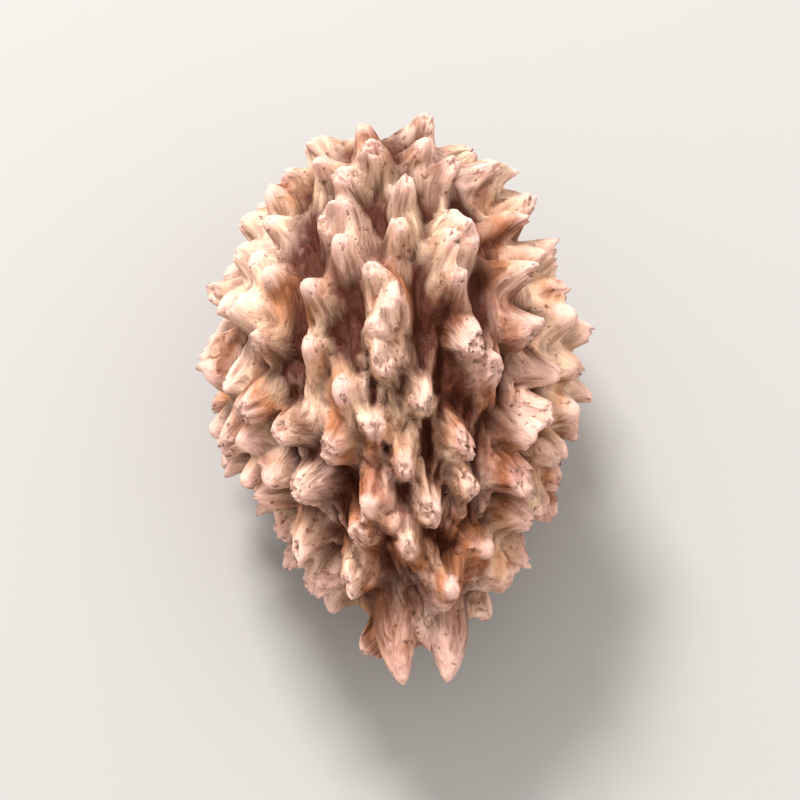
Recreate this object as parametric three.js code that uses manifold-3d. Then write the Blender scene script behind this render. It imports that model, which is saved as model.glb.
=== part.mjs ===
// Cocklebur fruit, dried and roasted: one woody, egg-shaped bur lying on its side.
// The body is round at the stalk end and tapers to two stout beaks. Short, worn prickles stand all
// over it, each on a mound drawn out lengthwise, and those underneath are worn to one level.
// Millimetres, +Z up. The bur lies along Y with its beaks towards -Y, and the origin is the middle
// of its bounding box, on the surface that it rests on.
import * as THREE from "three";
import { mergeVertices } from "three/addons/utils/BufferGeometryUtils.js";
import Module from "manifold-3d";

const wasm = await Module();
wasm.setup();

// Body, measured between the mounds that carry the prickles
const BODY_LENGTH = 15.2; // stalk scar to the point where the taper would end
const BODY_WIDTH = 8.1; // across the two seed chambers and the two beaks
const BODY_HEIGHT = 7.4;
const WIDEST_AT = 0.46; // share of the length, from the stalk end
const STALK_END_POWER = 1.3; // 2 is an elliptical end, and less is a narrower one
const BEAK_END_POWER = 1.4; // nearer 1 is a straighter cone
const BEND = 0.35; // how far both ends lie to one side of the middle

// Stalk scar
const SCAR_DEPTH = 0.5;
const SCAR_RADIUS = 0.5;
const RIM_HEIGHT = 0.2;
const RIM_RADIUS = 0.95;
const RIM_WIDTH = 0.3;

// Prickles
const PRICKLES = 170;
const FIRST_AT = 0.045; // share of the length where the prickles start
const LAST_AT = 0.93; // and where they end
const PRICKLE_HEIGHT = 0.7; // above its mound
const PRICKLE_HALF_LENGTH = 0.58; // at its foot, along the bur
const PRICKLE_HALF_WIDTH = 0.42; // at its foot, across the bur
const PRICKLE_ROOT = 0.5; // depth that the foot is sunk into the body
const PRICKLE_SIDES = 5;
const WORN_SHARE = 0.7; // this share of them has lost its tip
const END_HEIGHT_SHARE = 0.55; // prickles at either end are this much as tall
const GOLDEN_ANGLE = Math.PI * (3 - Math.sqrt(5));

// How much the prickles differ from one another
const SEED = 20261;
const HEIGHT_RANGE = 0.5; // share of the height
const PLACE_RANGE = 7; // steps of the spiral, along the bur
const TURN_RANGE = 0.26; // radians round the bur
const LEAN_TO_BEAKS = 0.1; // share of the height
const LEAN_RANGE = 0.46;
const MOST_HOOK = 0.42; // bend of the tip towards the beaks, as a share of the height

// Prickle outlines: half width of the foot, and share of the height, from the root up
const WHOLE_PRICKLE = [
  [0, -1],
  [1.1, -1],
  [0.6, 0.45],
  [0, 1],
];
const WORN_PRICKLE = [
  [0, -1],
  [1.1, -1],
  [0.6, 0.45],
  [0.38, 0.8],
  [0, 0.84],
];

// Mound under each prickle
const MOUND_HEIGHT = 0.6;
const MOUND_HALF_LENGTH = 0.85;
const MOUND_HALF_WIDTH = 0.42;
const TALLEST_OVERLAP = 1.12; // neighbouring mounds together rise this much higher at most

// Lengthwise swells and wrinkles: count round the body, height, and turn from end to end in radians
const WRINKLES = [
  { count: 2, height: 0.1, turn: 1.3, start: 0.7 },
  { count: 3, height: 0.09, turn: -1, start: 2.4 },
  { count: 13, height: 0.06, turn: 0.9, start: 0.4 },
];
const WRINKLES_FADE_BELOW = 0.7; // share of the full girth

// Beaks
const BEAK_ROOT_AT = 0.84; // share of the length where a beak's core starts
const BEAK_LENGTH = 3.3;
const BEAK_RADIUS = 0.62;
const BEAK_SPACING = 0.5; // between the two cores at the root
const BEAK_SPREAD = 0.42; // how far each beak bows outwards
const BEAK_BOW_ENDS = 0.72; // share of a half wave that the bow goes through
const BEAK_SIDES = 8;
const BEAK_OUTLINE = [
  [0, 0],
  [1.2, 0],
  [1.15, 0.3],
  [0.86, 0.6],
  [0.45, 0.88],
  [0, 1],
];

// Surface that the bur rests on, below its axis
const SEAT_DEPTH = 4.28;

// Mesh
const AROUND = 56;
const ALONG = 30;
const MEASURE_STEPS = 400;
const TINY = 1e-6;
const WELD = 1e-4;
const SIMPLIFY = 0.04; // mm that a surface may shift while slivers are merged

// Repeatable random numbers from 0 to 1
function seededDraws(seed) {
  const factor = 1664525;
  const addend = 1013904223;
  const range = 2 ** 32;
  let state = seed;
  return () => {
    state = (state * factor + addend) % range;
    return state / range;
  };
}

// Share of the full girth at a share t of the length
function girth(t) {
  if (t < WIDEST_AT) {
    const u = 1 - t / WIDEST_AT;
    return Math.sqrt(Math.max(0, 1 - u ** STALK_END_POWER));
  }
  const u = (t - WIDEST_AT) / (1 - WIDEST_AT);
  return Math.max(0, 1 - u ** BEAK_END_POWER);
}

// Middle of the bur's cross section, sideways, at share t of the length
function bend(t) {
  return BEND * (2 * t - 1) ** 2;
}

// Point on the plain body at share t of its length and angle a round it
function plainPoint(t, a) {
  const g = girth(t);
  return new THREE.Vector3(
    bend(t) + (BODY_WIDTH / 2) * g * Math.cos(a),
    BODY_LENGTH * (0.5 - t),
    (BODY_HEIGHT / 2) * g * Math.sin(a),
  );
}

// Directions at that point: out of the surface, towards the beaks, and across the bur
function plainDirections(t, a) {
  const step = 1e-3;
  const near = Math.min(1 - 2 * step, Math.max(2 * step, t));
  const toBeaks = plainPoint(near + step, a).sub(plainPoint(near - step, a)).normalize();
  const round = plainPoint(near, a + step).sub(plainPoint(near, a - step)).normalize();
  const out = new THREE.Vector3().crossVectors(round, toBeaks).normalize();
  const across = new THREE.Vector3().crossVectors(toBeaks, out);
  return { out, toBeaks, across };
}

// Running length and area of the body's side, from the stalk end to the beak end
function runningMeasures() {
  const meanRadius = (BODY_WIDTH + BODY_HEIGHT) / 4;
  const measures = [{ t: 0, length: 0, area: 0 }];
  for (let i = 1; i <= MEASURE_STEPS; i++) {
    const before = measures[i - 1];
    const t = i / MEASURE_STEPS;
    const rise = meanRadius * (girth(t) - girth(before.t));
    const slant = Math.hypot(rise, BODY_LENGTH / MEASURE_STEPS);
    const middle = (meanRadius * (girth(t) + girth(before.t))) / 2;
    measures.push({ t, length: before.length + slant, area: before.area + slant * middle });
  }
  return measures;
}
const MEASURES = runningMeasures();

// One running measure, read at the place where another has a given value
function lookUp(from, value, to) {
  const i = Math.max(1, MEASURES.findIndex((m) => m[from] >= value));
  const a = MEASURES[i - 1];
  const b = MEASURES[i];
  const share = (value - a[from]) / (b[from] - a[from]);
  return a[to] + share * (b[to] - a[to]);
}

// Prickles in the spiral order of a flower head, spread evenly over the surface
function placePrickles() {
  const draw = seededDraws(SEED);
  const offset = (range) => range * (draw() - 0.5);
  const firstArea = lookUp("t", FIRST_AT, "area");
  const lastArea = lookUp("t", LAST_AT, "area");
  const placed = [];
  for (let i = 0; i < PRICKLES; i++) {
    const share = Math.min(1, Math.max(0, (i + 0.5 + offset(PLACE_RANGE)) / PRICKLES));
    const t = lookUp("area", firstArea + share * (lastArea - firstArea), "t");
    const endness = (2 * t - 1) ** 2;
    const evenHeight = PRICKLE_HEIGHT * (1 - (1 - END_HEIGHT_SHARE) * endness);
    placed.push({
      t,
      angle: i * GOLDEN_ANGLE + offset(TURN_RANGE),
      lengthwise: lookUp("t", t, "length"),
      height: evenHeight * (1 + offset(HEIGHT_RANGE)),
      leanToBeaks: LEAN_TO_BEAKS + offset(LEAN_RANGE),
      leanAcross: offset(LEAN_RANGE),
      hook: MOST_HOOK * draw() ** 2,
      worn: draw() < WORN_SHARE,
    });
  }
  return placed;
}
const PLACED = placePrickles();

// Height of the mounds above the plain body
function moundHeight(t, a) {
  const radius = ((BODY_WIDTH + BODY_HEIGHT) / 4) * girth(t);
  const lengthwise = lookUp("t", t, "length");
  let sum = 0;
  for (const p of PLACED) {
    const along = (lengthwise - p.lengthwise) / MOUND_HALF_LENGTH;
    const turn = Math.atan2(Math.sin(a - p.angle), Math.cos(a - p.angle));
    const across = (turn * radius) / MOUND_HALF_WIDTH;
    sum += Math.exp(-along * along - across * across);
  }
  return MOUND_HEIGHT * Math.min(TALLEST_OVERLAP, sum);
}

// Height of the swells and wrinkles above the plain body
function wrinkleHeight(t, a) {
  let sum = 0;
  for (const w of WRINKLES) sum += w.height * Math.cos(w.count * a + w.turn * t + w.start);
  return sum * Math.min(1, girth(t) / WRINKLES_FADE_BELOW);
}

// A closed three.js geometry as a solid
function solidFrom(geometry) {
  geometry.deleteAttribute("normal");
  geometry.deleteAttribute("uv");
  const welded = mergeVertices(geometry, WELD);
  return new wasm.Manifold(
    new wasm.Mesh({
      numProp: 3,
      vertProperties: new Float32Array(welded.attributes.position.array),
      triVerts: new Uint32Array(welded.index.array),
    }),
  );
}

// Moves every vertex of a geometry by a function of its position
function reshape(geometry, move) {
  const position = geometry.attributes.position;
  const v = new THREE.Vector3();
  for (let i = 0; i < position.count; i++) {
    v.fromBufferAttribute(position, i);
    const moved = move(v);
    position.setXYZ(i, moved.x, moved.y, moved.z);
  }
  return geometry;
}

// Stalk scar: a dent with a raised rim, as a shift towards the stalk end
function scarShift(point) {
  const r = Math.hypot(point.x - bend(0), point.z);
  const dent = SCAR_DEPTH * Math.exp(-((r / SCAR_RADIUS) ** 2));
  const rim = RIM_HEIGHT * Math.exp(-(((r - RIM_RADIUS) / RIM_WIDTH) ** 2));
  return rim - dent;
}

// The body: a sphere drawn out to shape, then raised by its mounds and wrinkles
function makeBody() {
  const sphere = new THREE.SphereGeometry(1, AROUND, ALONG);
  return reshape(sphere, (v) => {
    const t = Math.min(1, Math.max(0, (1 - v.y) / 2));
    const a = Math.atan2(v.z, v.x);
    const point = plainPoint(t, a);
    const isPole = t < TINY || t > 1 - TINY;
    const relief = isPole ? 0 : moundHeight(t, a) + wrinkleHeight(t, a);
    point.addScaledVector(plainDirections(t, a).out, relief);
    if (t < WIDEST_AT) point.y += scarShift(point);
    return point;
  });
}

// A tapered spike along +Y, turned from an outline of [radius, height] pairs
function spike(outline, sides) {
  return new THREE.LatheGeometry(outline.map(([r, h]) => new THREE.Vector2(r, h)), sides);
}

// One prickle, longer along the bur than across it, leaning, and hooked a little at its tip
function makePrickle(p) {
  const { out, toBeaks, across } = plainDirections(p.t, p.angle);
  const foot = plainPoint(p.t, p.angle).addScaledVector(out, MOUND_HEIGHT / 2);
  return reshape(spike(p.worn ? WORN_PRICKLE : WHOLE_PRICKLE, PRICKLE_SIDES), (v) => {
    const rise = Math.max(0, v.y);
    const up = v.y > 0 ? rise * (p.height + MOUND_HEIGHT / 2) : v.y * PRICKLE_ROOT;
    const hooked = p.height * (p.leanToBeaks * rise + p.hook * rise ** 3);
    const leaning = p.height * p.leanAcross * rise;
    return foot
      .clone()
      .addScaledVector(out, up)
      .addScaledVector(toBeaks, v.x * PRICKLE_HALF_LENGTH + hooked)
      .addScaledVector(across, v.z * PRICKLE_HALF_WIDTH + leaning);
  });
}

// One of the two beaks, bowed outwards; side is +1 or -1
function makeBeak(side) {
  const rootY = BODY_LENGTH * (0.5 - BEAK_ROOT_AT);
  return reshape(spike(BEAK_OUTLINE, BEAK_SIDES), (v) => {
    const spread = BEAK_SPREAD * Math.sin(Math.PI * BEAK_BOW_ENDS * v.y);
    const middle = bend(BEAK_ROOT_AT) + side * (BEAK_SPACING / 2 + spread);
    return new THREE.Vector3(
      middle + v.x * BEAK_RADIUS,
      rootY - v.y * BEAK_LENGTH,
      -v.z * BEAK_RADIUS,
    );
  });
}

// Everything below the surface that the bur rests on
function makeGround() {
  const size = 2 * BODY_LENGTH;
  const block = new THREE.BoxGeometry(size, size, size);
  return block.translate(0, 0, -SEAT_DEPTH - size / 2);
}

// Body, prickles and beaks fused into one solid, and worn flat where it rests
function makeBur() {
  const pieces = [makeBody(), makeBeak(1), makeBeak(-1), ...PLACED.map(makePrickle)];
  const fused = wasm.Manifold.union(pieces.map(solidFrom));
  const seated = fused.subtract(solidFrom(makeGround())).simplify(SIMPLIFY);
  const mesh = seated.getMesh();
  const geometry = new THREE.BufferGeometry();
  geometry.setAttribute("position", new THREE.BufferAttribute(mesh.vertProperties, 3));
  geometry.setIndex(new THREE.BufferAttribute(mesh.triVerts, 1));
  geometry.computeVertexNormals();
  geometry.computeBoundingBox();
  return geometry;
}

const roastedHusk = new THREE.MeshStandardMaterial({
  color: 0xa87a58,
  roughness: 0.78,
  metalness: 0,
});

const bur = new THREE.Mesh(makeBur(), roastedHusk);
bur.name = "bur";
const box = bur.geometry.boundingBox;
bur.position.set(-(box.min.x + box.max.x) / 2, -(box.min.y + box.max.y) / 2, -box.min.z);

const cocklebur = new THREE.Group();
cocklebur.add(bur);

export default cocklebur;
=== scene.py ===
# Cocklebur fruit, dried and roasted: a woody husk with short, worn prickles and two beaks.
# Metres, +Z up. The bur lies along Y with its beaks towards -Y, on the surface at height zero.
import math

import bpy
import numpy as np
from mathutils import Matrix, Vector


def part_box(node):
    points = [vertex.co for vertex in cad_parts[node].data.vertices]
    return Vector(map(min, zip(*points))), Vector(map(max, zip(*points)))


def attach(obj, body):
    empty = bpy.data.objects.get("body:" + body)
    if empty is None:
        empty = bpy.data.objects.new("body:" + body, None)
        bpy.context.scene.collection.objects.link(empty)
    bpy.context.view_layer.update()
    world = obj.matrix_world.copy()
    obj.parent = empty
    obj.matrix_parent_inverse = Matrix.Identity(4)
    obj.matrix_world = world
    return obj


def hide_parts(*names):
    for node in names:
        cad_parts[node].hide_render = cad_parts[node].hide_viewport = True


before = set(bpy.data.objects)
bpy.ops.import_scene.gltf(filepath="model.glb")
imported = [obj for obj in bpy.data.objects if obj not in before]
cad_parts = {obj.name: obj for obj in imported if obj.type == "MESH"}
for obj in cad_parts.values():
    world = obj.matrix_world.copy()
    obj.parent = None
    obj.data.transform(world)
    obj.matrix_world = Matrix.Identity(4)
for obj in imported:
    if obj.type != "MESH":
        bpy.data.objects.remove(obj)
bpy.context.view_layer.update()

MM = 0.001

# Body, measured between the mounds that carry the prickles
BODY_LENGTH = 15.2 * MM
BODY_WIDTH = 8.1 * MM
BODY_HEIGHT = 7.4 * MM
MEAN_RADIUS = (BODY_WIDTH + BODY_HEIGHT) / 4
WIDEST_AT = 0.46  # share of the length, from the stalk end
STALK_END_POWER = 1.3  # nearer 2 is rounder
BEAK_END_POWER = 1.4  # nearer 1 is a straighter cone
BEND = 0.35 * MM  # how far both ends lie to one side of the middle
SEAT_DEPTH = 4.28 * MM  # surface that the bur rests on, below its axis
SIDE_SHIFT = -0.069 * MM  # puts the outermost prickles evenly about the middle

# Stalk scar
SCAR_DEPTH = 0.5 * MM
SCAR_RADIUS = 0.5 * MM
RIM_HEIGHT = 0.2 * MM
RIM_RADIUS = 0.95 * MM
RIM_WIDTH = 0.3 * MM

# Prickles
PRICKLES = 170
FIRST_AT = 0.045  # share of the length
LAST_AT = 0.93
PRICKLE_HEIGHT = 0.7 * MM
END_HEIGHT_SHARE = 0.55  # height at both ends, against that in the middle
WORN_SHARE = 0.7  # of all the prickles
GOLDEN_ANGLE = math.pi * (3 - math.sqrt(5))
SEED = 20261
HEIGHT_RANGE = 0.5  # share of the height
PLACE_RANGE = 7  # steps of the spiral, along the bur
TURN_RANGE = 0.26  # radians, round the bur
LEAN_TO_BEAKS = 0.1  # share of the height
LEAN_RANGE = 0.46
MOST_HOOK = 0.42  # bend of the tip towards the beaks, as a share of the height
FOOT_HALF_LENGTH = 0.7 * MM
FOOT_HALF_WIDTH = 0.5 * MM
FOOT_RANGE = 0.3  # how much the feet differ in size
STEEPNESS = 1.35  # of the sides
PINCH = 1.2  # draws the sides in towards the tip
WORN_TOP = 0.7  # share of its full height that a worn prickle keeps
SLANT_RANGE = 0.9  # tilt of the worn tops
UNWORN_CUT = 2  # a level above any prickle
DOME_SHARE = 0.82  # of the height in a dome, and the rest in a cone
SPLINTER_SHARE = 0.7  # height of the splinters on a worn top, against the prickle's
CUT_SOFTNESS = 0.06  # at the edge of a worn top
LEAST_SHARE = 0.001  # keeps the middle of a foot from a power of zero
SHAPE_SEED = 7
WEAR_ROUNDING = 0.06 * MM  # at the edge of the tips that the bur rests on

# Mound under each prickle
MOUND_HEIGHT = 0.6 * MM
MOUND_HALF_LENGTH = 0.85 * MM
MOUND_HALF_WIDTH = 0.42 * MM
TALLEST_OVERLAP = 1.12  # where mounds meet, against a lone one

# Lengthwise swells and wrinkles: count round the body, height, turn from end to end, start
WRINKLES = [
    (2, 0.1 * MM, 1.3, 0.7),
    (3, 0.09 * MM, -1.0, 2.4),
    (13, 0.06 * MM, 0.9, 0.4),
]
WRINKLES_FADE_BELOW = 0.7  # share of the full girth

# Creases between folds of the dry husk: waves for each millimetre across and along, and height
CREASES = {
    "Broad": (0.95, 0.24, 0.42 * MM),
    "Middle": (2.3, 0.5, 0.24 * MM),
    "Fine": (5.5, 1.2, 0.09 * MM),
}
FOLDS_GROW_FROM = 0.4  # share of the length, towards the beaks
FOLDS_GROW_BY = 1.2
FOLD_MIDDLE = 0.48  # keeps the folds on average level with the body
RELIEF_FADES_BELOW = 0.15  # share of the full girth
LEAST_FACING = 0.2  # a prickle raises only what faces the way that it does

# Beaks
BEAK_ROOT_AT = 0.84  # share of the length
BEAK_LENGTH = 3.3 * MM
BEAK_RADIUS = 0.62 * MM
BEAK_SPACING = 0.5 * MM  # between the two beaks at the root
BEAK_SPREAD = 0.42 * MM  # how far each beak bows outwards
BEAK_BOW_ENDS = 0.72  # share of a half wave that the bow goes through
BEAK_RIBS = 7
BEAK_RIB_HEIGHT = 0.05  # share of the radius
# Share of the beak's length, and of its radius there
BEAK_OUTLINE = [(0, 1.2), (0.3, 1.15), (0.6, 0.86), (0.84, 0.5), (0.95, 0.27), (1, 0.03)]

# Fineness of the skin, and of the measuring along the body
ROWS = 270
AROUND = 344
BEAK_ROWS = 44
BEAK_AROUND = 40
MEASURE_STEPS = 400
DIRECTION_STEP = 1e-3

# Colours of the husk, as seen
TANS = [(238, 203, 174), (238, 198, 180)]
BROWNS = [(186, 126, 86), (180, 116, 84)]
STREAK_BROWN = (98, 46, 20)
# Painted shade: the dark brown laid into the grooves, where shadow would fall
GROOVE_PAINTED_SHADE = (74, 31, 12)
TIP_CREAM = (240, 194, 180)
SCORCH_BROWN = (96, 46, 26)
PAINTED_LIGHT_PER_METRE = 9.0  # painted light: lightness added for each metre towards the stalk end, as a share of the patches
FOLD_WEIGHT = 2.5 / MM  # of the folds beside the mounds, in what counts as a groove for the painted shade

# Floor, room and camera
FLOOR_SIZE = 0.8
FLOOR_COLOUR = (0.38, 0.371, 0.36, 1)
ROOM_COLOUR = (1, 0.96, 0.92, 1)
ROOM_STRENGTH = 1.0
VIEW_AZIMUTH = -4
VIEW_ELEVATION = 63
LENS = 150
FRAME_HEIGHT = 21.5 * MM


# Repeatable random numbers from 0 to 1
def seeded_draws(seed):
    factor = 1664525
    addend = 1013904223
    span = 2**32
    state = seed
    while True:
        state = (state * factor + addend) % span
        yield state / span


# Share of the full girth at a share t of the length
def girth(t):
    t = np.clip(t, 0, 1)
    stalk_side = 1 - np.minimum(t / WIDEST_AT, 1)
    beak_side = np.maximum(0, t - WIDEST_AT) / (1 - WIDEST_AT)
    stalk_girth = np.sqrt(np.maximum(0, 1 - stalk_side**STALK_END_POWER))
    beak_girth = 1 - beak_side**BEAK_END_POWER
    return np.where(t < WIDEST_AT, stalk_girth, beak_girth)


# Middle of the cross section, sideways, at share t of the length
def bend(t):
    return BEND * (2 * t - 1) ** 2


# Points on the plain body at shares t of its length and angles a round it
def plain_point(t, a):
    g = girth(t)
    x = bend(t) + BODY_WIDTH / 2 * g * np.cos(a)
    y = BODY_LENGTH * (0.5 - t)
    z = BODY_HEIGHT / 2 * g * np.sin(a)
    return np.stack(np.broadcast_arrays(x, y, z), axis=-1)


# The same direction at length 1
def unit(v):
    return v / np.linalg.norm(v, axis=-1, keepdims=True)


# Directions there: out of the surface, towards the beaks, and across the bur
def plain_directions(t, a):
    step = DIRECTION_STEP
    near = np.clip(t, 2 * step, 1 - 2 * step)
    to_beaks = unit(plain_point(near + step, a) - plain_point(near - step, a))
    round_body = unit(plain_point(near, a + step) - plain_point(near, a - step))
    out = unit(np.cross(round_body, to_beaks))
    return out, to_beaks, np.cross(to_beaks, out)


# Running area of the body's side, from the stalk end to the beak end
def running_area():
    t = np.linspace(0, 1, MEASURE_STEPS + 1)
    radius = MEAN_RADIUS * girth(t)
    slant = np.hypot(np.diff(radius), BODY_LENGTH / MEASURE_STEPS)
    middle = (radius[1:] + radius[:-1]) / 2
    return t, np.concatenate([[0], np.cumsum(slant * middle)])


MEASURE_T, MEASURE_AREA = running_area()


# Where the prickles stand, in the spiral order of a flower head, and what each is like
def place_prickles():
    draws = seeded_draws(SEED)

    def offset(span):
        return span * (next(draws) - 0.5)

    first_area = np.interp(FIRST_AT, MEASURE_T, MEASURE_AREA)
    last_area = np.interp(LAST_AT, MEASURE_T, MEASURE_AREA)
    prickles = []
    for i in range(PRICKLES):
        share = min(1, max(0, (i + 0.5 + offset(PLACE_RANGE)) / PRICKLES))
        area = first_area + share * (last_area - first_area)
        t = float(np.interp(area, MEASURE_AREA, MEASURE_T))
        even_height = PRICKLE_HEIGHT * (1 - (1 - END_HEIGHT_SHARE) * (2 * t - 1) ** 2)
        prickles.append({
            "t": t,
            "angle": i * GOLDEN_ANGLE + offset(TURN_RANGE),
            "height": even_height * (1 + offset(HEIGHT_RANGE)),
            "lean_to_beaks": LEAN_TO_BEAKS + offset(LEAN_RANGE),
            "lean_across": offset(LEAN_RANGE),
            "hook": MOST_HOOK * next(draws) ** 2,
            "worn": next(draws) < WORN_SHARE,
        })
    return prickles


PLACED = place_prickles()


# From the body's own frame, with its axis through the origin, to the frame of the whole part
def in_place(points):
    beak_tip = BODY_LENGTH * (0.5 - BEAK_ROOT_AT) - BEAK_LENGTH
    low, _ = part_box("bur")
    return points + [SIDE_SHIFT, low.y - beak_tip, SEAT_DEPTH]


# Adds an object to the scene
def add_object(name, data):
    made = bpy.data.objects.new(name, data)
    bpy.context.scene.collection.objects.link(made)
    return made


# A closed skin of rows of points, with one more point at each end
def closed_skin(name, first, rows, last):
    count, around = rows.shape[:2]
    points = np.concatenate([[first], rows.reshape(-1, 3), [last]])
    end = len(points) - 1
    at = 1 + np.arange(count * around).reshape(count, around)
    after = np.roll(at, -1, axis=1)
    faces = [(0, int(p), int(q)) for p, q in zip(after[0], at[0])]
    for i in range(count - 1):
        ring = zip(at[i], after[i], after[i + 1], at[i + 1])
        faces += [tuple(int(v) for v in quad) for quad in ring]
    faces += [(end, int(p), int(q)) for p, q in zip(at[-1], after[-1])]
    mesh = bpy.data.meshes.new(name)
    mesh.from_pydata(points.tolist(), [], faces)
    return add_object(name, mesh)


# One beak, bowed outwards and ribbed lengthwise; side is +1 or -1
def make_beak(side):
    h = np.linspace(0, 1, BEAK_ROWS)[:, None]
    a = np.linspace(0, 2 * math.pi, BEAK_AROUND, endpoint=False)[None, :]
    share, width = np.array(BEAK_OUTLINE).T
    radius = BEAK_RADIUS * np.interp(h, share, width)
    radius = radius * (1 + BEAK_RIB_HEIGHT * np.cos(BEAK_RIBS * a + side))
    spread = BEAK_SPREAD * np.sin(math.pi * BEAK_BOW_ENDS * h)
    middle = bend(BEAK_ROOT_AT) + side * (BEAK_SPACING / 2 + spread)
    x = middle + radius * np.cos(a)
    y = BODY_LENGTH * (0.5 - BEAK_ROOT_AT) - h * BEAK_LENGTH
    z = radius * np.sin(a)
    rows = np.stack(np.broadcast_arrays(x, y, z), axis=-1)
    root, tip = rows[0].mean(axis=0), rows[-1].mean(axis=0)
    return closed_skin("beak", root, rows, tip)


# Applies an object's modifiers and drops them
def settle(piece):
    depsgraph = bpy.context.evaluated_depsgraph_get()
    settled = bpy.data.meshes.new_from_object(piece.evaluated_get(depsgraph), depsgraph=depsgraph)
    piece.modifiers.clear()
    piece.data = settled
    return piece


# Body and beaks fused into one skin
def fuse(body, beaks):
    for beak in beaks:
        union = body.modifiers.new("union", "BOOLEAN")
        union.object = beak
        union.solver = "MANIFOLD"
        union.operation = "UNION"
    settle(body)
    for beak in beaks:
        bpy.data.objects.remove(beak)
    return body


# The prickles' places on the plain body, as points that carry what each prickle is like
def make_seats():
    t = np.array([p["t"] for p in PLACED])
    a = np.array([p["angle"] for p in PLACED])
    worn = np.array([p["worn"] for p in PLACED])
    out, to_beaks, across = plain_directions(t, a)
    shapes = np.random.default_rng(SHAPE_SEED)
    mesh = bpy.data.meshes.new("prickle_seats")
    mesh.from_pydata(plain_point(t, a).tolist(), [], [])
    vectors = {"out": out, "to_beaks": to_beaks, "across": across}
    for name, values in vectors.items():
        kept = mesh.attributes.new(name, "FLOAT_VECTOR", "POINT")
        kept.data.foreach_set("vector", values.ravel())
    numbers = {
        "tip": [MOUND_HEIGHT + p["height"] for p in PLACED],
        "lean_to_beaks": [p["lean_to_beaks"] for p in PLACED],
        "lean_across": [p["lean_across"] for p in PLACED],
        "hook": [p["hook"] for p in PLACED],
        "top": np.where(worn, WORN_TOP, 1),
        "cut": np.where(worn, WORN_TOP, UNWORN_CUT),
        "foot": 1 + FOOT_RANGE * shapes.uniform(-0.5, 0.5, PRICKLES),
        "slant_along": SLANT_RANGE * shapes.uniform(-0.5, 0.5, PRICKLES),
        "slant_across": SLANT_RANGE * shapes.uniform(-0.5, 0.5, PRICKLES),
    }
    for name, values in numbers.items():
        kept = mesh.attributes.new(name, "FLOAT", "POINT")
        kept.data.foreach_set("value", np.asarray(values, np.float32))
    return add_object("prickle_seats", mesh)


# Adds a node, with its settings first and then its inputs as values or links
def add(tree, kind, inputs=None, **settings):
    made = tree.nodes.new(kind)
    for name, value in settings.items():
        setattr(made, name, value)
    for key, value in (inputs or {}).items():
        if isinstance(value, bpy.types.NodeSocket):
            tree.links.new(value, made.inputs[key])
        else:
            made.inputs[key].default_value = value
    return made


# A sum, product or other step on numbers
def number(tree, operation, *values):
    return add(tree, "ShaderNodeMath", dict(enumerate(values)), operation=operation).outputs[0]


# The same on vectors
def vector(tree, operation, *values):
    made = add(tree, "ShaderNodeVectorMath", dict(enumerate(values)), operation=operation)
    return made.outputs["Value" if operation == "DOT_PRODUCT" else "Vector"]


# A direction drawn out to a length
def scaled(tree, direction, length):
    made = add(tree, "ShaderNodeVectorMath", {"Vector": direction, "Scale": length}, operation="SCALE")
    return made.outputs["Vector"]


# Reads what is kept on the geometry under a name
def attribute(tree, name, kind):
    made = add(tree, "GeometryNodeInputNamedAttribute", {"Name": name}, data_type=kind)
    return made.outputs["Attribute"]


# Keeps a value on the geometry under a name
def keep(tree, geometry, name, value, kind="FLOAT"):
    inputs = {"Geometry": geometry, "Name": name, "Value": value}
    return add(tree, "GeometryNodeStoreNamedAttribute", inputs, data_type=kind).outputs[0]


# A new tree with its named inputs
def new_tree(name, sizes, counts=None):
    tree = bpy.data.node_groups.new(name, "GeometryNodeTree")
    face = tree.interface
    face.new_socket("Geometry", in_out="INPUT", socket_type="NodeSocketGeometry")
    face.new_socket("Seats", in_out="INPUT", socket_type="NodeSocketObject")
    face.new_socket("Material", in_out="INPUT", socket_type="NodeSocketMaterial")
    for key, value in sizes.items():
        face.new_socket(key, in_out="INPUT", socket_type="NodeSocketFloat").default_value = value
    for key, value in (counts or {}).items():
        face.new_socket(key, in_out="INPUT", socket_type="NodeSocketInt").default_value = value
    face.new_socket("Geometry", in_out="OUTPUT", socket_type="NodeSocketGeometry")
    return tree, add(tree, "NodeGroupInput").outputs


# Ends a tree in real geometry with its material
def end_tree(tree, geometry, material):
    real = add(tree, "GeometryNodeRealizeInstances", {"Geometry": geometry})
    dressed = add(tree, "GeometryNodeSetMaterial", {"Geometry": real.outputs[0], "Material": material})
    add(tree, "NodeGroupOutput", {"Geometry": dressed.outputs[0]})


# Starts a loop over the seats; returns its two ends and what reads a seat's values in it
def loop_over_seats(tree, seats_object, geometry):
    seats = add(tree, "GeometryNodeObjectInfo", {"Object": seats_object}).outputs["Geometry"]
    count = add(tree, "GeometryNodeAttributeDomainSize", {"Geometry": seats}).outputs["Point Count"]
    start = add(tree, "GeometryNodeRepeatInput")
    end = add(tree, "GeometryNodeRepeatOutput")
    start.pair_with_output(end)
    tree.links.new(count, start.inputs["Iterations"])
    tree.links.new(geometry, start.inputs["Geometry"])

    def of_seat(name, kind="FLOAT"):
        place = add(tree, "GeometryNodeInputPosition").outputs[0]
        value = attribute(tree, name, kind) if name else place
        inputs = {"Geometry": seats, "Value": value, "Index": start.outputs["Iteration"]}
        return add(tree, "GeometryNodeSampleIndex", inputs, data_type=kind).outputs[0]

    return start, end, of_seat


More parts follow.
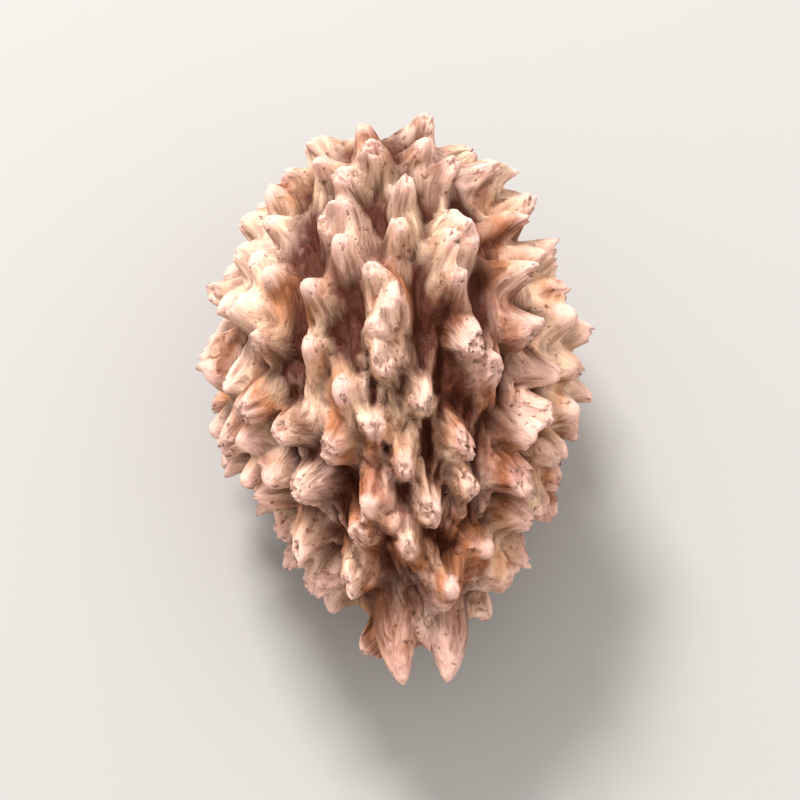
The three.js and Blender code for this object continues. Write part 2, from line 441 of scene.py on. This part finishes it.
# Distances from the seat along and across the bur, and whether a point is on the seat's side
def around_seat(tree, point, of_seat):
    away = vector(tree, "SUBTRACT", point, of_seat("", "FLOAT_VECTOR"))
    out, to_beaks, across = (of_seat(name, "FLOAT_VECTOR") for name in ("out", "to_beaks", "across"))
    facing = vector(tree, "DOT_PRODUCT", attribute(tree, "out", "FLOAT_VECTOR"), out)
    is_near = number(tree, "GREATER_THAN", facing, LEAST_FACING)
    along_foot = vector(tree, "DOT_PRODUCT", away, to_beaks)
    across_foot = vector(tree, "DOT_PRODUCT", away, across)
    return out, to_beaks, across, along_foot, across_foot, is_near


# A bell curve of a value over a half width
def bell(tree, value, half_width):
    share = number(tree, "DIVIDE", value, half_width)
    squared = number(tree, "MULTIPLY", share, share)
    return number(tree, "EXPONENT", number(tree, "MULTIPLY", squared, -1.0))


# Named inputs of the body's tree, and their values
BODY_INPUTS = {
    "Body length": BODY_LENGTH,
    "Body width": BODY_WIDTH,
    "Body height": BODY_HEIGHT,
    "Widest at": WIDEST_AT,
    "Stalk end power": STALK_END_POWER,
    "Beak end power": BEAK_END_POWER,
    "Bend": BEND,
    "Mound height": MOUND_HEIGHT,
    "Mound half length": MOUND_HALF_LENGTH,
    "Mound half width": MOUND_HALF_WIDTH,
    "Tallest overlap": TALLEST_OVERLAP,
    "Scar depth": SCAR_DEPTH,
    "Scar radius": SCAR_RADIUS,
    "Rim height": RIM_HEIGHT,
    "Rim radius": RIM_RADIUS,
    "Rim width": RIM_WIDTH,
    "Folds grow from": FOLDS_GROW_FROM,
    "Folds grow by": FOLDS_GROW_BY,
}
BODY_INPUTS.update({f"{name} fold height": height for name, (_, _, height) in CREASES.items()})


# Share of the full girth, as nodes
def girth_nodes(tree, t, given):
    widest = given["Widest at"]
    before = number(tree, "SUBTRACT", 1.0, number(tree, "DIVIDE", t, widest))
    stalk_side = number(tree, "MAXIMUM", before, 0.0)
    stalk_loss = number(tree, "POWER", stalk_side, given["Stalk end power"])
    stalk_square = number(tree, "MAXIMUM", number(tree, "SUBTRACT", 1.0, stalk_loss), 0.0)
    rest = number(tree, "SUBTRACT", 1.0, widest)
    past = number(tree, "DIVIDE", number(tree, "SUBTRACT", t, widest), rest)
    beak_side = number(tree, "MAXIMUM", past, 0.0)
    beak_loss = number(tree, "POWER", beak_side, given["Beak end power"])
    beak_girth = number(tree, "MAXIMUM", number(tree, "SUBTRACT", 1.0, beak_loss), 0.0)
    return number(tree, "MULTIPLY", number(tree, "SQRT", stalk_square), beak_girth)


# Swells and wrinkles that turn round the body, as nodes
def wrinkle_nodes(tree, t, a, g):
    total = 0.0
    for count, height, turn, start in WRINKLES:
        phase = number(tree, "ADD", number(tree, "MULTIPLY_ADD", a, float(count), start),
                       number(tree, "MULTIPLY", t, turn))
        total = number(tree, "MULTIPLY_ADD", number(tree, "COSINE", phase), height, total)
    fade = number(tree, "MINIMUM", number(tree, "DIVIDE", g, WRINKLES_FADE_BELOW), 1.0)
    return number(tree, "MULTIPLY", total, fade)


# Folds drawn out along the bur with a sharp crease between each two, as nodes
def fold_nodes(tree, point, t, given):
    total = 0.0
    for name, (across, along, _) in CREASES.items():
        stretched = vector(tree, "MULTIPLY", point, (across / MM, along / MM, across / MM))
        made = add(tree, "ShaderNodeTexNoise", {"Vector": stretched, "Scale": 1.0, "Detail": 0.0})
        waves = number(tree, "ABSOLUTE", number(tree, "MULTIPLY_ADD", made.outputs[0], 2.0, -1.0))
        fold = number(tree, "SUBTRACT", number(tree, "SQRT", waves), FOLD_MIDDLE)
        total = number(tree, "MULTIPLY_ADD", fold, given[f"{name} fold height"], total)
    growing = number(tree, "SUBTRACT", 1.0, given["Folds grow from"])
    share = number(tree, "DIVIDE", number(tree, "SUBTRACT", t, given["Folds grow from"]), growing)
    share = number(tree, "MAXIMUM", number(tree, "MINIMUM", share, 1.0), 0.0)
    growth = number(tree, "SINE", number(tree, "MULTIPLY", share, math.pi))
    grown = number(tree, "MULTIPLY_ADD", growth, given["Folds grow by"], 1.0)
    return number(tree, "MULTIPLY", total, grown)


# Stalk scar: a dent with a raised rim, as a shift towards the stalk end
def scar_nodes(tree, point, t, given):
    x, _, z = add(tree, "ShaderNodeSeparateXYZ", {0: point}).outputs
    sideways = number(tree, "SUBTRACT", x, given["Bend"])
    squared = number(tree, "MULTIPLY", sideways, sideways)
    r = number(tree, "SQRT", number(tree, "ADD", squared, number(tree, "MULTIPLY", z, z)))
    dent = number(tree, "MULTIPLY", bell(tree, r, given["Scar radius"]), given["Scar depth"])
    from_rim = number(tree, "SUBTRACT", r, given["Rim radius"])
    rim = number(tree, "MULTIPLY", bell(tree, from_rim, given["Rim width"]), given["Rim height"])
    is_stalk_side = number(tree, "LESS_THAN", t, given["Widest at"])
    shift = number(tree, "MULTIPLY", number(tree, "SUBTRACT", rim, dent), is_stalk_side)
    return add(tree, "ShaderNodeCombineXYZ", {1: shift}).outputs[0]


# Geometry nodes that draw a sphere out to the body, and raise its mounds, wrinkles and folds
def body_tree():
    tree, given = new_tree("shape_body", BODY_INPUTS, {"Around": AROUND, "Rows": ROWS})
    ball = add(tree, "GeometryNodeMeshUVSphere", {"Segments": given["Around"], "Rings": given["Rows"]})
    position = add(tree, "GeometryNodeInputPosition").outputs[0]
    x, y, z = add(tree, "ShaderNodeSeparateXYZ", {0: position}).outputs
    skin = keep(tree, ball.outputs["Mesh"], "t", number(tree, "MULTIPLY_ADD", z, -0.5, 0.5))
    skin = keep(tree, skin, "a", number(tree, "MULTIPLY", number(tree, "ARCTAN2", y, x), -1.0))
    t, a = attribute(tree, "t", "FLOAT"), attribute(tree, "a", "FLOAT")
    skin = keep(tree, skin, "girth", girth_nodes(tree, t, given))
    g = attribute(tree, "girth", "FLOAT")

    # The plain body
    half_girth = number(tree, "MULTIPLY", g, 0.5)
    bent = number(tree, "MULTIPLY", number(tree, "MULTIPLY", z, z), given["Bend"])
    wide = number(tree, "MULTIPLY", half_girth, given["Body width"])
    high = number(tree, "MULTIPLY", half_girth, given["Body height"])
    plain = add(tree, "ShaderNodeCombineXYZ", {
        0: number(tree, "MULTIPLY_ADD", number(tree, "COSINE", a), wide, bent),
        1: number(tree, "MULTIPLY", number(tree, "MULTIPLY", z, 0.5), given["Body length"]),
        2: number(tree, "MULTIPLY", number(tree, "SINE", a), high),
    }).outputs[0]
    skin = add(tree, "GeometryNodeSetPosition", {"Geometry": skin, "Position": plain}).outputs[0]
    normal = add(tree, "GeometryNodeInputNormal").outputs[0]
    skin = keep(tree, skin, "out", normal, "FLOAT_VECTOR")
    skin = keep(tree, skin, "mound", 0.0)

    # One mound after another
    start, end, of_seat = loop_over_seats(tree, given["Seats"], skin)
    _, _, _, along_foot, across_foot, is_near = around_seat(tree, position, of_seat)
    along_bell = bell(tree, along_foot, given["Mound half length"])
    across_bell = bell(tree, across_foot, given["Mound half width"])
    share = number(tree, "MULTIPLY", number(tree, "MULTIPLY", along_bell, across_bell), is_near)
    total = number(tree, "ADD", attribute(tree, "mound", "FLOAT"), share)
    tree.links.new(keep(tree, start.outputs["Geometry"], "mound", total), end.inputs["Geometry"])

    # Relief on the plain body
    mound = number(tree, "MINIMUM", attribute(tree, "mound", "FLOAT"), given["Tallest overlap"])
    skin = keep(tree, end.outputs["Geometry"], "fold", fold_nodes(tree, position, t, given))
    low_relief = number(tree, "ADD", wrinkle_nodes(tree, t, a, g), attribute(tree, "fold", "FLOAT"))
    relief = number(tree, "MULTIPLY_ADD", mound, given["Mound height"], low_relief)
    fade = number(tree, "MINIMUM", number(tree, "DIVIDE", g, RELIEF_FADES_BELOW), 1.0)
    skin = keep(tree, skin, "relief", number(tree, "MULTIPLY", relief, fade))
    raised = scaled(tree, attribute(tree, "out", "FLOAT_VECTOR"), attribute(tree, "relief", "FLOAT"))
    shift = vector(tree, "ADD", raised, scar_nodes(tree, position, t, given))
    skin = add(tree, "GeometryNodeSetPosition", {"Geometry": skin, "Offset": shift}).outputs[0]
    end_tree(tree, skin, given["Material"])
    return tree


# Named inputs of the prickles' tree, and their values
PRICKLE_INPUTS = {
    "Foot half length": FOOT_HALF_LENGTH,
    "Foot half width": FOOT_HALF_WIDTH,
    "Steepness": STEEPNESS,
    "Pinch": PINCH,
    "Unevenness": 0.7,
    "Unevenness per metre": 2300.0,
    "Splinters per metre": 5000.0,
    "Fibre height": 0.07 * MM,
    "Fibres per metre": 3000.0,
    "Fibre stretch": 0.14,
    "Beak root": BODY_LENGTH * (0.5 - BEAK_ROOT_AT),
    "Beak length": BEAK_LENGTH,
}


# Geometry nodes that raise one prickle after another out of the husk
def prickle_tree():
    tree, given = new_tree("raise_prickles", PRICKLE_INPUTS)
    position = add(tree, "GeometryNodeInputPosition").outputs[0]

    # The husk as it is before the first prickle
    skin = keep(tree, given["Geometry"], "husk", position, "FLOAT_VECTOR")
    skin = keep(tree, skin, "rise", 0.0)
    husk = attribute(tree, "husk", "FLOAT_VECTOR")
    lengthwise = add(tree, "ShaderNodeSeparateXYZ", {0: husk}).outputs[1]
    past_root = number(tree, "SUBTRACT", given["Beak root"], lengthwise)
    skin = keep(tree, skin, "beak", number(tree, "DIVIDE", past_root, given["Beak length"]))

    start, end, of_seat = loop_over_seats(tree, given["Seats"], skin)
    out, to_beaks, across, along_foot, across_foot, is_near = around_seat(tree, husk, of_seat)
    tip, top, cut, foot, hook = (of_seat(name) for name in ("tip", "top", "cut", "foot", "hook"))
    lean_to_beaks, lean_across = of_seat("lean_to_beaks"), of_seat("lean_across")
    slant_along, slant_across = of_seat("slant_along"), of_seat("slant_across")

    # Place in the foot: 0 in the middle and 1 at its edge
    along_share = number(tree, "DIVIDE", along_foot, given["Foot half length"])
    across_share = number(tree, "DIVIDE", across_foot, given["Foot half width"])
    squares = number(tree, "ADD", number(tree, "MULTIPLY", along_share, along_share),
                     number(tree, "MULTIPLY", across_share, across_share))
    grain = add(tree, "ShaderNodeTexNoise", {
        "Vector": husk, "Scale": given["Unevenness per metre"], "Detail": 1.0}).outputs[0]
    unevenness = number(tree, "MULTIPLY", number(tree, "SUBTRACT", grain, 0.5), given["Unevenness"])
    round_share = number(tree, "DIVIDE", number(tree, "SQRT", squares), foot)
    from_middle = number(tree, "MULTIPLY", round_share, number(tree, "ADD", unevenness, 1.0))
    from_edge = number(tree, "MAXIMUM", number(tree, "SUBTRACT", 1.0, from_middle), 0.0)
    inward = number(tree, "MULTIPLY", from_edge, is_near)

    # Height: flowing out of the husk at the edge and rounded at the tip, or worn off on a slant
    steep = number(tree, "MINIMUM", number(tree, "MULTIPLY", inward, given["Steepness"]), 1.0)
    curve = number(tree, "MULTIPLY", number(tree, "MULTIPLY", steep, steep),
                   number(tree, "SUBTRACT", 3.0, number(tree, "MULTIPLY", steep, 2.0)))
    domed = number(tree, "ADD", number(tree, "MULTIPLY", curve, DOME_SHARE),
                   number(tree, "MULTIPLY", inward, 1 - DOME_SHARE))
    slanted = number(tree, "ADD", number(tree, "MULTIPLY", along_share, slant_along),
                     number(tree, "MULTIPLY", across_share, slant_across))
    splinters = add(tree, "ShaderNodeTexNoise", {
        "Vector": husk, "Scale": given["Splinters per metre"]}).outputs[0]
    rough_top = number(tree, "MULTIPLY", number(tree, "SUBTRACT", splinters, 0.5), SPLINTER_SHARE)
    top_here = number(tree, "ADD", cut, number(tree, "ADD", slanted, rough_top))
    worn_off = number(tree, "SMOOTH_MIN", domed, top_here, CUT_SOFTNESS)
    rise = number(tree, "MAXIMUM", worn_off, 0.0)
    above_husk = number(tree, "SUBTRACT", tip, attribute(tree, "relief", "FLOAT"))
    tall = number(tree, "DIVIDE", number(tree, "MAXIMUM", above_husk, 0.0), top)
    height = number(tree, "MULTIPLY", rise, tall)

    # Shift: drawn in towards the middle, raised, leaning, and hooked towards the beaks
    power = number(tree, "SUBTRACT", given["Pinch"], 1.0)
    drawn_to = number(tree, "POWER", number(tree, "MAXIMUM", from_middle, LEAST_SHARE), power)
    is_inside = number(tree, "GREATER_THAN", inward, 0.0)
    drawn_in = number(tree, "MULTIPLY", number(tree, "SUBTRACT", drawn_to, 1.0), is_inside)
    cubed = number(tree, "MULTIPLY", rise, number(tree, "MULTIPLY", rise, hook))
    lean = number(tree, "MULTIPLY", height, number(tree, "ADD", lean_to_beaks, cubed))
    side_lean = number(tree, "MULTIPLY", height, lean_across)
    lengthwise = number(tree, "ADD", number(tree, "MULTIPLY", drawn_in, along_foot), lean)
    sideways = number(tree, "ADD", number(tree, "MULTIPLY", drawn_in, across_foot), side_lean)
    shift = vector(tree, "ADD", scaled(tree, out, height), scaled(tree, to_beaks, lengthwise))
    shift = vector(tree, "ADD", shift, scaled(tree, across, sideways))

    highest = number(tree, "MAXIMUM", attribute(tree, "rise", "FLOAT"), rise)
    raised = add(tree, "GeometryNodeSetPosition", {
        "Geometry": start.outputs["Geometry"], "Offset": shift}).outputs[0]
    tree.links.new(keep(tree, raised, "rise", highest), end.inputs["Geometry"])

    # Coarse fibres that run along the bur and up its prickles
    stretch = add(tree, "ShaderNodeCombineXYZ", {0: 1.0, 1: given["Fibre stretch"], 2: 1.0}).outputs[0]
    run = vector(tree, "MULTIPLY", husk, stretch)
    fibres = add(tree, "ShaderNodeTexNoise", {
        "Vector": run, "Scale": given["Fibres per metre"], "Detail": 3.0, "Roughness": 0.6}).outputs[0]
    raised_by = number(tree, "MULTIPLY", number(tree, "SUBTRACT", fibres, 0.5), given["Fibre height"])
    normal = add(tree, "GeometryNodeInputNormal").outputs[0]
    ribbed = add(tree, "GeometryNodeSetPosition", {
        "Geometry": end.outputs["Geometry"], "Offset": scaled(tree, normal, raised_by)}).outputs[0]
    end_tree(tree, ribbed, given["Material"])
    return tree


# Runs a tree on a piece, and leaves a plain mesh
def grow(piece, tree, seats, material, sizes):
    modifier = piece.modifiers.new(tree.name, "NODES")
    modifier.node_group = tree
    items = tree.interface.items_tree
    sockets = {item.name: item.identifier for item in items if item.in_out == "INPUT"}
    modifier[sockets["Seats"]] = seats
    modifier[sockets["Material"]] = material
    for name, value in sizes.items():
        modifier[sockets[name]] = value
    return settle(piece)


# The points of a mesh, a row for each
def read_points(mesh):
    points = np.empty(len(mesh.vertices) * 3, np.float32)
    mesh.vertices.foreach_get("co", points)
    return points.reshape(-1, 3).astype(float)


# Puts the bur in its place, where all that would reach below the surface is worn off level
def seat_on_surface(bur):
    points = in_place(read_points(bur.data))
    z = points[:, 2]
    worn = WEAR_ROUNDING * np.exp(np.minimum(z / WEAR_ROUNDING - 1, 0))
    points[:, 2] = np.where(z > WEAR_ROUNDING, z, worn)
    bur.data.vertices.foreach_set("co", points.ravel())


# A colour as seen, from 0 to 255, in the linear light that the shader takes
def from_srgb(colour):
    shares = [c / 255 for c in colour]
    return tuple(c / 12.92 if c <= 0.04045 else ((c + 0.055) / 1.055) ** 2.4 for c in shares)


# From colour a to colour b as the factor goes from 0 to 1
def mix(tree, factor, a, b):
    made = add(tree, "ShaderNodeMix", data_type="RGBA")
    for key, value in (("Factor_Float", factor), ("A_Color", a), ("B_Color", b)):
        socket = next(s for s in made.inputs if s.identifier == key)
        if isinstance(value, bpy.types.NodeSocket):
            tree.links.new(value, socket)
        else:
            socket.default_value = value if key == "Factor_Float" else (*value, 1)
    return next(s for s in made.outputs if s.identifier == "Result_Color")


# Noise at so many waves for each metre, drawn out along one direction or not
def grain_noise(tree, place, scale, stretch=(1, 1, 1), detail=4.0, roughness=0.55):
    mapping = add(tree, "ShaderNodeMapping", {"Vector": place, "Scale": stretch})
    made = add(tree, "ShaderNodeTexNoise", {
        "Vector": mapping.outputs[0], "Scale": scale, "Detail": detail, "Roughness": roughness})
    return made.outputs[0]


# Maps a value from the range low to high onto another, and holds it there
def levels(tree, value, low, high, to_low=0.0, to_high=1.0):
    inputs = {"Value": value, "From Min": low, "From Max": high, "To Min": to_low, "To Max": to_high}
    return add(tree, "ShaderNodeMapRange", inputs).outputs[0]


# What the geometry says of a point of the husk
def mark(tree, name, output="Fac"):
    return add(tree, "ShaderNodeAttribute", attribute_name=name).outputs[output]


# Tan and brown patches, with painted light that makes them lighter towards the stalk end
def patch_colour(tree, place):
    patches = grain_noise(tree, place, 620, (1, 0.6, 1))
    tints = levels(tree, grain_noise(tree, place, 330, detail=2.0), 0.42, 0.58)
    tan, brown = (mix(tree, tints, *(from_srgb(c) for c in pair)) for pair in (TANS, BROWNS))
    lengthwise = add(tree, "ShaderNodeSeparateXYZ", {0: place}).outputs[1]
    # Painted light: the stalk end, nearer the window, is made lighter
    patches_and_painted_light = number(tree, "MULTIPLY_ADD", lengthwise, PAINTED_LIGHT_PER_METRE, patches)
    return mix(tree, levels(tree, patches_and_painted_light, 0.36, 0.56), brown, tan)


# How much painted shade goes in the grooves between mounds, folds and prickles, by how deep they lie
def groove_painted_shade(tree, rise, beak):
    height_here = number(tree, "MULTIPLY_ADD", mark(tree, "fold"), FOLD_WEIGHT, mark(tree, "mound"))
    groove = levels(tree, height_here, 0.15, 0.95, 1.0, 0.0)
    groove = number(tree, "MULTIPLY", groove, levels(tree, rise, 0.0, 0.4, 1.0, 0.0))
    return number(tree, "MULTIPLY", groove, levels(tree, beak, 0.1, 0.6, 1.0, 0.2))


# Patches with painted light towards the stalk end, dark streaks, painted shade in the grooves, pale
# worn tips and scorched specks
def husk_colour(tree, place, fibres, fine):
    rise, beak = mark(tree, "rise"), mark(tree, "beak")
    ground = patch_colour(tree, place)
    streak = mix(tree, 0.75, ground, from_srgb(STREAK_BROWN))
    streaked = mix(tree, levels(tree, fibres, 0.38, 0.6), streak, ground)
    # Painted shade: the grooves between mounds, folds and prickles made darker
    groove_shaded = mix(tree, groove_painted_shade(tree, rise, beak), streaked, from_srgb(GROOVE_PAINTED_SHADE))
    uneven = number(tree, "MULTIPLY", number(tree, "SUBTRACT", fine, 0.5), 0.7)
    tip = number(tree, "MAXIMUM", rise, number(tree, "MULTIPLY", beak, 0.75))
    pale = levels(tree, number(tree, "ADD", tip, uneven), 0.38, 0.8)
    tipped = mix(tree, number(tree, "MULTIPLY", pale, 0.85), groove_shaded, from_srgb(TIP_CREAM))
    specks = levels(tree, grain_noise(tree, place, 4200, detail=2.0), 0.62, 0.7)
    return mix(tree, number(tree, "MULTIPLY", specks, 0.7), tipped, from_srgb(SCORCH_BROWN))


# Roasted woody husk, with fibres that run along the bur and up its prickles
def husk_material():
    material = bpy.data.materials.new("roasted_husk")
    material.use_nodes = True
    tree = material.node_tree
    tree.nodes.clear()
    place = add(tree, "ShaderNodeTexCoord").outputs["Object"]
    flow = mark(tree, "husk", "Vector")
    fibres = grain_noise(tree, flow, 3000, (1, 0.12, 1), detail=5.0, roughness=0.65)
    fine = grain_noise(tree, flow, 9000, (1, 0.14, 1), detail=4.0, roughness=0.6)
    colour = husk_colour(tree, place, fibres, fine)
    roughness = levels(tree, fibres, 0.3, 0.7, 0.78, 0.5)
    bump_height = number(tree, "ADD", fibres, number(tree, "MULTIPLY", fine, 0.7))
    bump = add(tree, "ShaderNodeBump", {"Height": bump_height, "Strength": 1.0, "Distance": 0.1 * MM})
    shader = add(tree, "ShaderNodeBsdfPrincipled", {
        "Base Color": colour, "Roughness": roughness, "Normal": bump.outputs[0]})
    shader.inputs["Specular IOR Level"].default_value = 0.22
    add(tree, "ShaderNodeOutputMaterial", {"Surface": shader.outputs[0]})
    return material


# Plain pale floor
def make_floor():
    half = FLOOR_SIZE / 2
    mesh = bpy.data.meshes.new("floor")
    corners = [(-half, -half, 0), (half, -half, 0), (half, half, 0), (-half, half, 0)]
    mesh.from_pydata(corners, [], [(0, 1, 2, 3)])
    floor = add_object("floor", mesh)
    material = bpy.data.materials.new("pale_floor")
    material.use_nodes = True
    shader = material.node_tree.nodes["Principled BSDF"]
    shader.inputs["Base Color"].default_value = FLOOR_COLOUR
    shader.inputs["Roughness"].default_value = 0.7
    mesh.materials.append(material)


# Puts a light or camera at a distance from a point, facing it; azimuth 0 is at the beaks
def face_point(thing, point, azimuth, elevation, distance):
    a, e = math.radians(azimuth), math.radians(elevation)
    back = Vector((math.sin(a) * math.cos(e), -math.cos(a) * math.cos(e), math.sin(e)))
    thing.location = point + back * distance
    thing.rotation_mode = "QUATERNION"
    thing.rotation_quaternion = back.to_track_quat("Z", "Y")


# A square soft light, aimed at the bur
def soft_light(name, azimuth, elevation, distance, size, power, colour):
    data = bpy.data.lights.new(name, "AREA")
    data.energy = power
    data.size = size
    data.color = colour
    face_point(add_object(name, data), Vector((0, 0, 0)), azimuth, elevation, distance)


# A window behind the stalk end, a weak fill light beside the beaks, and the room
def set_light():
    soft_light("window", azimuth=200, elevation=47, distance=0.3, size=0.09, power=1.3,
               colour=(1, 0.968, 0.957))
    soft_light("fill", azimuth=60, elevation=55, distance=0.35, size=0.3, power=0.2,
               colour=(1, 0.97, 0.94))
    world = bpy.data.worlds.new("room")
    world.use_nodes = True
    background = world.node_tree.nodes["Background"]
    background.inputs["Color"].default_value = ROOM_COLOUR
    background.inputs["Strength"].default_value = ROOM_STRENGTH
    bpy.context.scene.world = world
    bpy.context.scene.view_settings.view_transform = "Standard"


# Camera looking down on the bur, with the beaks at the bottom of the picture
def set_camera():
    data = bpy.data.cameras.new("camera")
    data.lens = LENS
    distance = FRAME_HEIGHT / 2 / (data.sensor_width / 2 / data.lens)
    data.clip_start = distance / 10
    data.clip_end = 10
    camera = add_object("camera", data)
    low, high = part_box("bur")
    face_point(camera, (low + high) / 2, VIEW_AZIMUTH, VIEW_ELEVATION, distance)
    bpy.context.scene.camera = camera


# The bur: body, beaks, prickles, wear and colour
def make_bur():
    seats = make_seats()
    material = husk_material()
    body = add_object("body", bpy.data.meshes.new("body"))
    grow(body, body_tree(), seats, material, BODY_INPUTS)
    husk = fuse(body, [make_beak(1), make_beak(-1)])
    bur = grow(husk, prickle_tree(), seats, material, PRICKLE_INPUTS)
    bpy.data.objects.remove(seats)
    bur.name = "bur_skin"
    seat_on_surface(bur)
    bur.data.shade_smooth()
    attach(bur, "root")
    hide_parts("bur")


make_bur()
make_floor()
set_light()
set_camera()
